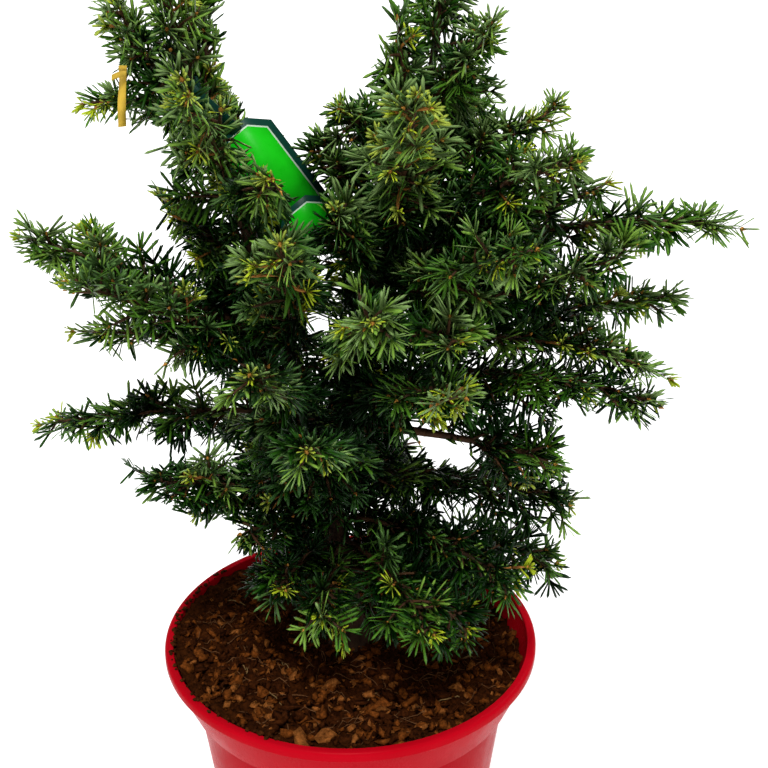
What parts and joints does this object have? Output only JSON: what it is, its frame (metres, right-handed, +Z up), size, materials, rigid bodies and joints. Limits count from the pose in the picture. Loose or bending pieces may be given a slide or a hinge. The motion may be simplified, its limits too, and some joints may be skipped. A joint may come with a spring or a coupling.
{
  "type": "potted dwarf conifer",
  "caption": "Bushy dwarf conifer with a forked trunk and flat sprays of dark green needles, in a round red nursery pot with a flared rim band, with soil and a blank hang tag.",
  "frame": {"origin": "middle of the flat underside of the pot", "axes": "+Z up, +X to the viewer's right, the viewer of the picture stands on the -Y side"},
  "size_m": [0.341, 0.2431, 0.4968],
  "materials": {
    "red_plastic": "glossy moulded red plastic with fine scratches",
    "soil": "loose dark peat compost with bark chips",
    "bark": "rough grey-brown bark",
    "needles": "semi-gloss dark green needles, yellow-green at the shoot tips",
    "tag_plastic": "smooth printed plastic label, bare panels"
  },
  "bodies": {
    "root": {"pot": "red_plastic", "soil": "soil", "trunk": "bark", "leader_left": "bark", "leader_right": "bark", "bough_west_arm_upper": "bark", "bough_right_low": "bark", "bough_right_arm_lower": "bark", "bough_right_arm_upper": "bark", "needles_left_crown_tip": "needles", "needles_left_crown_right": "needles", "needles_left_crown_west": "needles", "needles_left_crown_arm": "needles", "needles_left_crown_front": "needles", "needles_left_crown_east": "needles", "needles_left_crown_back": "needles", "needles_left_waist_front": "needles", "needles_left_waist_west": "needles", "needles_west_arm_upper": "needles", "needles_west_arm_fork": "needles", "needles_west_arm_middle": "needles", "needles_west_arm_lower": "needles", "needles_west_arm_low": "needles", "needles_front_shoulder": "needles", "needles_front_left": "needles", "needles_front_middle": "needles", "needles_front_skirt_left": "needles", "needles_front_skirt_middle": "needles", "needles_front_skirt_right": "needles", "needles_skirt_left_low": "needles", "needles_skirt_right_low": "needles", "needles_right_skirt_front": "needles", "needles_right_skirt_upper": "needles", "needles_right_skirt_lower": "needles", "needles_front_right_low": "needles", "needles_front_right": "needles", "needles_front_right_middle": "needles", "needles_front_spray": "needles", "needles_right_low": "needles", "needles_right_arm_lower": "needles", "needles_right_waist": "needles", "needles_right_arm_middle": "needles", "needles_right_arm_upper": "needles", "needles_right_arm_short": "needles", "needles_right_shoulder": "needles", "needles_crown_right": "needles", "needles_crown_right_top": "needles", "needles_crown_tip": "needles", "needles_crown_left_top": "needles", "needles_crown_left_upper": "needles", "needles_crown_left": "needles", "needles_crown_front": "needles", "needles_crown_middle": "needles", "needles_middle_front": "needles", "needles_back_top": "needles", "needles_back_right": "needles", "needles_back_left": "needles", "needles_back_skirt_left": "needles", "needles_back_skirt_right": "needles", "tag": "tag_plastic"}
  },
  "joints": []
}
